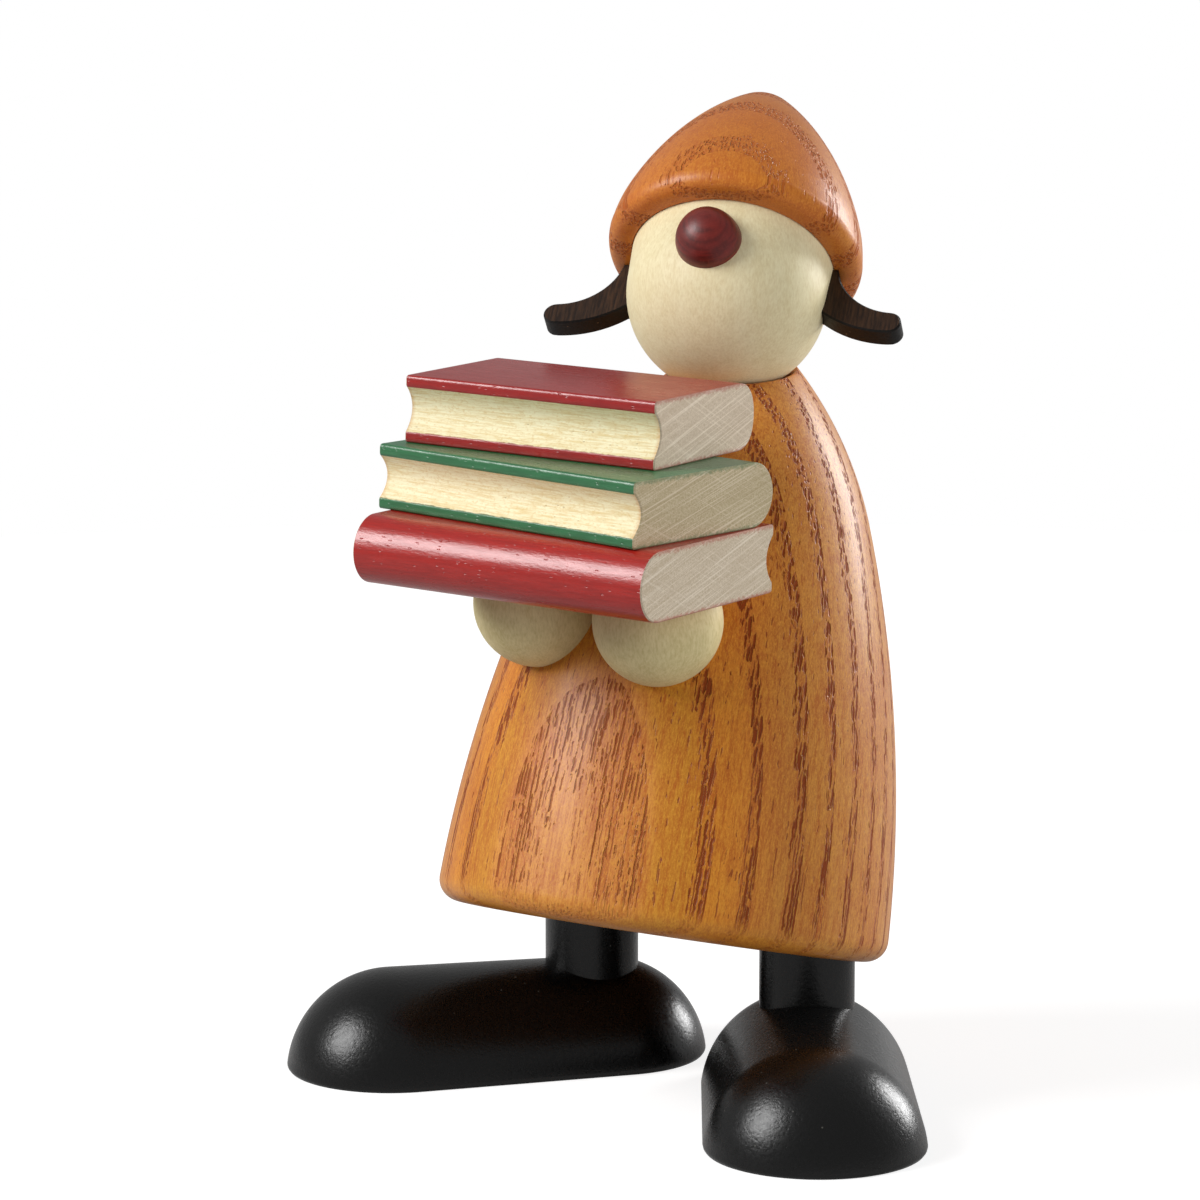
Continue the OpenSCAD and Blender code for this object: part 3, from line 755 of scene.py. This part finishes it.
def tail_piece(name, side):
    """A flat plate let into the head, whose edges are arcs that meet in a round tip."""
    low_c = (TAIL_TIP[0] + TAIL_LOW_SHIFT, TAIL_TIP[1] + TAIL_LOW_R - TAIL_TIP_R)
    high_c = (TAIL_TIP[0] + TAIL_HIGH_SHIFT, TAIL_TIP[1] + TAIL_HIGH_R + TAIL_TIP_R)
    at_rim = 180.0 + math.degrees(math.asin((high_c[1] - CAP_RIM) / TAIL_HIGH_R))
    outline = ([(TAIL_IN, TAIL_IN_LOW)] + circle_pts(low_c, TAIL_LOW_R, *TAIL_LOW_ARC, 24)
               + circle_pts(TAIL_TIP, TAIL_TIP_R, *TAIL_TIP_ARC, 24)
               + circle_pts(high_c, TAIL_HIGH_R, TAIL_HIGH_START, at_rim, 24) + [(TAIL_IN, CAP_RIM)])
    verts, faces = extrude([(side * x, z) for x, z in outline], TAIL_T / 2, TAIL_BEVEL)
    edge, face = 0, 1
    kinds = [edge] * (len(faces) - 2) + [face, face]
    place = HEAD @ Matrix.Translation((TAIL_ASIDE, TAIL_T / 2, 0)) @ SWAP_XY
    piece(name + "_plate", verts, faces, place, name, "head", [hair_edge_mat, hair_mat], kinds)


def hand_piece(name, side):
    """A ball cut flat on top, where the books lie."""
    top = math.degrees(math.acos(HAND_BELOW / HAND_R))
    ball = circle_pts((0.0, 0.0), HAND_R, -90.0, 90.0 - top, 55)
    flat_r = ball[-1][0]
    lip = soft_corner(ball[-2], ball[-1], (0.0, HAND_BELOW), HAND_SOFT)
    verts, faces = lathe(ball[:-1] + lip + [(flat_r * 0.5, HAND_BELOW), (0.0, HAND_BELOW)], steps=128)
    place = PILE @ Matrix.Translation((side * HAND_X, HAND_BACK, -HAND_BELOW))
    piece(name + "_ball", verts, faces, place, name, "figure", [hand_mat])


# The books from the bottom up: size is length, depth and thickness, at the middle's place on the pile,
# spine the depth of the round back and power how round it is, and end the colours of the sawn ends
SAW_SLANT = 16.0
BOOKS = [
    dict(name="book_bottom", size=(36.29, 26.01, 7.42), at=(1.29, 8.09), degrees=2.96, spine=3.65, power=1.0,
         spine_ahead=True, slot="red_book", paint=RED,
         end=(srgb(214, 200, 178), srgb(184, 166, 140), srgb(232, 220, 202))),
    dict(name="book_middle", size=(35.34, 23.24, 7.02), at=(0.5, 11.05), degrees=-3.8, spine=3.4, power=1.0,
         spine_ahead=False, slot="green_book", paint=GREEN,
         end=(srgb(206, 192, 160), srgb(174, 156, 120), srgb(228, 214, 188))),
    dict(name="book_top", size=(31.01, 20.91, 7.27), at=(-1.86, 14.86), degrees=4.86, spine=3.2, power=0.88,
         spine_ahead=False, slot="red_book", paint=DARK_RED,
         end=(srgb(214, 198, 176), srgb(188, 168, 144), srgb(236, 222, 202)))]


def book_piece(name, size, at, degrees, spine, power, spine_ahead, slot, paint, end, height):
    """A solid moulding in the shape of a book: round back, soft boards and a hollow fore-edge."""
    length, depth, thick = size
    half = thick / 2
    page = half - BOARD_T
    back = []
    for a in np.radians(np.linspace(-90, 90, 49)):
        c, t = max(0.0, math.cos(a)), math.sin(a)
        back.append((depth - spine * (1 - c ** power), half * math.copysign(abs(t) ** power, t)))
    hollow = [(FORE_HOLLOW * (1 - u * u), u * page) for u in np.linspace(1, -1, 29)]
    outline = (soft_corner(hollow[-1], (0, -half), back[0], BOARD_SOFT) + back
               + soft_corner(back[-1], (0, half), hollow[0], BOARD_SOFT)
               + soft_corner((0, half), hollow[0], hollow[2], PAGE_SOFT, 2) + hollow[1:-1]
               + soft_corner(hollow[-3], hollow[-1], (0, -half), PAGE_SOFT, 2))
    n = len(outline)
    verts, faces = extrude(outline, length / 2, BOOK_BEVEL)
    painted, sawn, leaves = 0, 1, 2
    # Leaves run from the end of their upper soft corner to the middle of the lower one
    leaf_faces = range(n - len(hollow) - 2, n - 2)
    sides = [leaves if i in leaf_faces else painted for i in range(n)]
    kinds = [sawn] * n + sides + [sawn] * (n + 2)

    place = PILE @ Matrix.Translation((at[0], at[1], height)) @ turn("Z", degrees)
    if spine_ahead:
        place = place @ turn("Z", 180.0)
    place = place @ Matrix.Translation((0, -depth / 2, half))
    slant = -SAW_SLANT if spine_ahead else SAW_SLANT
    materials = [book_paint(name + "_paint", place, *paint),
                 sawn_end(name + "_end", place, slant, half, paint[2], *end),
                 book_pages(name + "_leaves", place, length / 2, half, paint[1], *CREAM)]
    piece(name + "_block", verts, faces, place, name, "figure", materials, kinds, sharp=30.0)


def leg_piece(name, side):
    """A round dowel with a small bevel at each end."""
    outline = [(0.0, LEG_LOW), (LEG_R - LEG_SOFT, LEG_LOW), (LEG_R, LEG_LOW + LEG_SOFT)]
    outline += [(LEG_R, z) for z in np.linspace(LEG_LOW + 1, LEG_TOP - 1, 12)]
    outline += [(LEG_R, LEG_TOP - LEG_SOFT), (LEG_R - LEG_SOFT, LEG_TOP), (0.0, LEG_TOP)]
    verts, faces = lathe(outline, steps=96)
    place = Matrix.Translation((side * LEG_X, LEG_Y, 0.0))
    piece(name + "_dowel", verts, faces, place, name, "figure", [black_mat])


def shoe_bar():
    """The round-ended bar that a shoe is sawn from, lying along Y: slightly wider at the toe."""
    rise = (SHOE_TOE_R - SHOE_HEEL_R) / (SHOE_HEEL_RUN + SHOE_TOE_RUN)
    flare = math.asin(rise)
    slope = math.degrees(flare)
    toe_mid = SHOE_HEEL_R + SHOE_HEEL_RUN + SHOE_TOE_RUN
    toe = (SHOE_TOE_R * math.cos(flare), toe_mid - SHOE_TOE_R * math.sin(flare))
    heel = arc((0.0, 0.0), -90.0, -slope, SHOE_HEEL_R, 40)
    r, z = heel[-1]
    bar = [(r + (toe[0] - r) * t, z + (toe[1] - z) * t) for t in np.linspace(0, 1, 26)[1:]]
    outline = [(0.0, 0.0)] + heel + bar + arc(toe, -slope, 90.0, SHOE_TOE_R, 44)
    verts, faces = lathe(outline, steps=160)
    lay = Matrix.Translation((0, SHOE_HEEL_RUN + SHOE_HEEL_R, -SHOE_SINK)) @ turn("X", 90.0)
    return [lay @ Vector(v) for v in verts], faces


def shoe_piece(name, side, splay):
    """The upper part of a round-ended turned bar, with a soft lower edge."""
    mesh = bpy.data.meshes.new("bar")
    verts, faces = shoe_bar()
    mesh.from_pydata(verts, [], faces)
    bm = bmesh.new()
    bm.from_mesh(mesh)

    def saw(height, **settings):
        geom = bm.verts[:] + bm.edges[:] + bm.faces[:]
        return bmesh.ops.bisect_plane(bm, geom=geom, plane_co=(0, 0, height), plane_no=(0, 0, 1), **settings)

    saw(SHOE_SOFT_MIDDLE)
    saw(SHOE_SOFT_UP)
    sole = saw(0.0, clear_inner=True)["geom_cut"]
    bmesh.ops.contextual_create(bm, geom=[e for e in sole if isinstance(e, bmesh.types.BMEdge)])
    bm.normal_update()
    for v in bm.verts:
        axis_y = min(max(v.co.y, -SHOE_TOE_RUN), SHOE_HEEL_RUN)
        out = Vector((v.co.x, v.co.y - axis_y, 0.0))
        if v.co.z < SHOE_SOFT_UP and out.length > 1e-6:
            v.co -= out.normalized() * SHOE_SOFT * (1 - v.co.z / SHOE_SOFT_UP) ** 2
    bm.verts.index_update()
    verts = [v.co.copy() for v in bm.verts]
    faces = [tuple(v.index for v in f.verts) for f in bm.faces]
    bm.free()
    bpy.data.meshes.remove(mesh)
    place = Matrix.Translation((side * LEG_X, LEG_Y, 0.0)) @ turn("Z", splay)
    piece(name + "_turned", verts, faces, place, name, "figure", [black_mat], sharp=50.0)


coat_piece()
head_piece()
cap_piece()
nose_piece()
for side_name, side in SIDES.items():
    tail_piece("pigtail_" + side_name, side)
for side_name, side in SIDES.items():
    hand_piece("hand_" + side_name, side)
pile_height = 0.0
for book in BOOKS:
    book_piece(**book, height=pile_height)
    pile_height += book["size"][2]
for side_name, side in SIDES.items():
    leg_piece("leg_" + side_name, side)
for side_name, side in SIDES.items():
    shoe_piece("shoe_" + side_name, side, SHOE_SPLAY[side_name])

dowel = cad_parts["neck_dowel"]
dowel.data.materials.clear()
dowel.data.materials.append(dowel_mat)


# Stage, light and camera, in metres

WHITE = (1.0, 1.0, 1.0, 1.0)
FLOOR_R, FLOOR_STEPS = 0.42, 96
FLOOR_GREY, FLOOR_GLOW = (0.42, 0.42, 0.42, 1.0), 0.76
WORLD_SEEN, WORLD_LIGHT = 1.0, 0.11
MIRRORED_SHARE = 0.30
STUDIO_MIDDLE, LAMP_AIM = Vector((0.0, 0.0, 0.055)), Vector((0.0, 0.0, 0.06))
CAMERA_AT = Vector((0.309195, -0.435087, 0.14446))
CAMERA_RIGHT = Vector((0.8085, 0.5885, 0.0)).normalized()
CAMERA_BACK = Vector((0.5804, -0.7974, 0.1652)).normalized()
CAMERA_UP = CAMERA_BACK.cross(CAMERA_RIGHT)
CAMERA_LENS, CAMERA_SENSOR = 147.86, 36.0
CAMERA_NEAR, CAMERA_FAR = 0.05, 20.0


def sees_background(tree):
    """How much of the white background a ray sees: all of it straight from the camera, and a share of it
    mirrored or through glass, because gloss in a photo studio shows darker surroundings."""
    def joined(op, a, b):
        return add_node(tree, "ShaderNodeMath", a, b, operation=op).outputs[0]

    path = add_node(tree, "ShaderNodeLightPath").outputs
    mirrored = joined("MAXIMUM", path["Is Glossy Ray"], path["Is Transmission Ray"])
    return joined("MAXIMUM", path["Is Camera Ray"], joined("MULTIPLY", mirrored, MIRRORED_SHARE))


def floor_piece():
    """A wide plain pale floor; the camera sees it as white paper that keeps the shadow."""
    mesh = bpy.data.meshes.new("floor")
    ring = [(x, y, 0.0) for x, y in circle_pts((0.0, 0.0), FLOOR_R, 0.0, 360.0, FLOOR_STEPS)[:-1]]
    mesh.from_pydata(ring, [], [tuple(range(FLOOR_STEPS))])
    mat = bpy.data.materials.new("white_paper")
    mat.use_nodes = True
    tree = mat.node_tree
    tree.nodes.clear()
    paper = add_node(tree, "ShaderNodeBsdfDiffuse", FLOOR_GREY).outputs[0]
    glow = add_node(tree, "ShaderNodeEmission", WHITE, FLOOR_GLOW).outputs[0]
    both = add_node(tree, "ShaderNodeAddShader", paper, glow).outputs[0]
    seen = add_node(tree, "ShaderNodeMixShader", sees_background(tree), paper, both).outputs[0]
    add_node(tree, "ShaderNodeOutputMaterial", seen)
    mesh.materials.append(mat)
    in_scene("floor", mesh)


def make_world():
    """White where it is seen, and a soft even light on the object."""
    world = bpy.data.worlds.new("studio")
    bpy.context.scene.world = world
    world.use_nodes = True
    tree = world.node_tree
    tree.nodes.clear()
    soft = add_node(tree, "ShaderNodeBackground", WHITE, WORLD_LIGHT).outputs[0]
    seen = add_node(tree, "ShaderNodeBackground", WHITE, WORLD_SEEN).outputs[0]
    mix = add_node(tree, "ShaderNodeMixShader", sees_background(tree), soft, seen).outputs[0]
    add_node(tree, "ShaderNodeOutputWorld", mix)


def studio_point(azimuth, elevation, distance):
    """A place in the studio: degrees to the camera's right, degrees up, metres from the object's middle."""
    az, el = math.radians(azimuth), math.radians(elevation)
    flat_back = Vector((CAMERA_BACK.x, CAMERA_BACK.y, 0.0)).normalized()
    flat = CAMERA_RIGHT * math.sin(az) + flat_back * math.cos(az)
    return STUDIO_MIDDLE + (flat * math.cos(el) + Vector((0, 0, math.sin(el)))) * distance


def softbox(name, at, size, power, shines=True):
    """A lamp aimed at the object. One that doesn't shine leaves no highlight."""
    data = bpy.data.lights.new(name, "AREA")
    data.shape = "RECTANGLE"
    data.size, data.size_y = size
    data.energy = power
    obj = in_scene(name, data)
    obj.location = at
    obj.rotation_mode = "QUATERNION"
    obj.rotation_quaternion = (LAMP_AIM - at).to_track_quat("-Z", "Y")
    obj.visible_glossy = shines


def make_camera():
    """The camera at the photograph's angle."""
    data = bpy.data.cameras.new("photo_view")
    data.lens = CAMERA_LENS
    data.sensor_width = CAMERA_SENSOR
    data.clip_start, data.clip_end = CAMERA_NEAR, CAMERA_FAR
    obj = in_scene("photo_view", data)
    axes = Matrix((CAMERA_RIGHT, CAMERA_UP, CAMERA_BACK)).transposed().to_4x4()
    obj.matrix_world = Matrix.Translation(CAMERA_AT) @ axes
    bpy.context.scene.camera = obj


floor_piece()
make_world()
make_camera()
softbox("key", studio_point(-72.0, 34.0, 0.82), size=(0.40, 0.40), power=6.75)
softbox("right_back", studio_point(127.0, 16.0, 0.80), size=(0.22, 0.36), power=4.4)
softbox("right_fill", studio_point(52.0, 6.0, 0.90), size=(0.6, 0.6), power=3.8, shines=False)
bpy.context.scene.view_settings.view_transform = "Standard"
